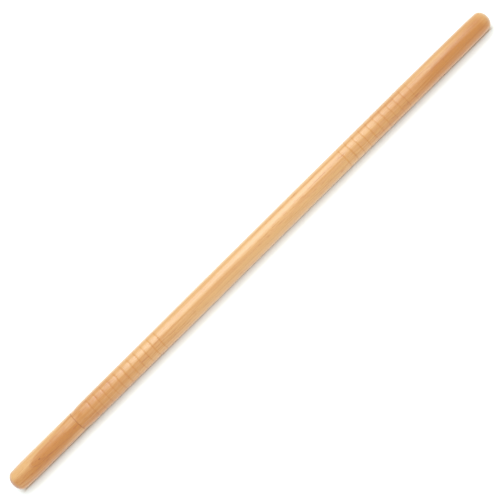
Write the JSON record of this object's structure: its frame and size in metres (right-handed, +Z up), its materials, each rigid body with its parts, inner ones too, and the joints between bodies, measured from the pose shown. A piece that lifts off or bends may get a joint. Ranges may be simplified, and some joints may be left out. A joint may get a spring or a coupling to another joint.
{
  "type": "devil stick",
  "caption": "Turned wooden juggling stick with a ringed grip band for each hand, rounded tips and a doweled end section.",
  "frame": {"origin": "middle of the stick's length, on its axis", "axes": "+X along the stick, from the doweled end section towards the shaft's own tip; +Z up, square to the stick"},
  "size_m": [0.711, 0.0254, 0.0254],
  "materials": {
    "shaft_wood": "satin clear lacquer over pale honey wood",
    "end_wood": "satin clear lacquer over pale honey wood",
    "dowel_wood": "bare beech"
  },
  "bodies": {
    "root": {"shaft": "shaft_wood", "end_section": "end_wood", "joint_dowel": "dowel_wood"}
  },
  "joints": []
}
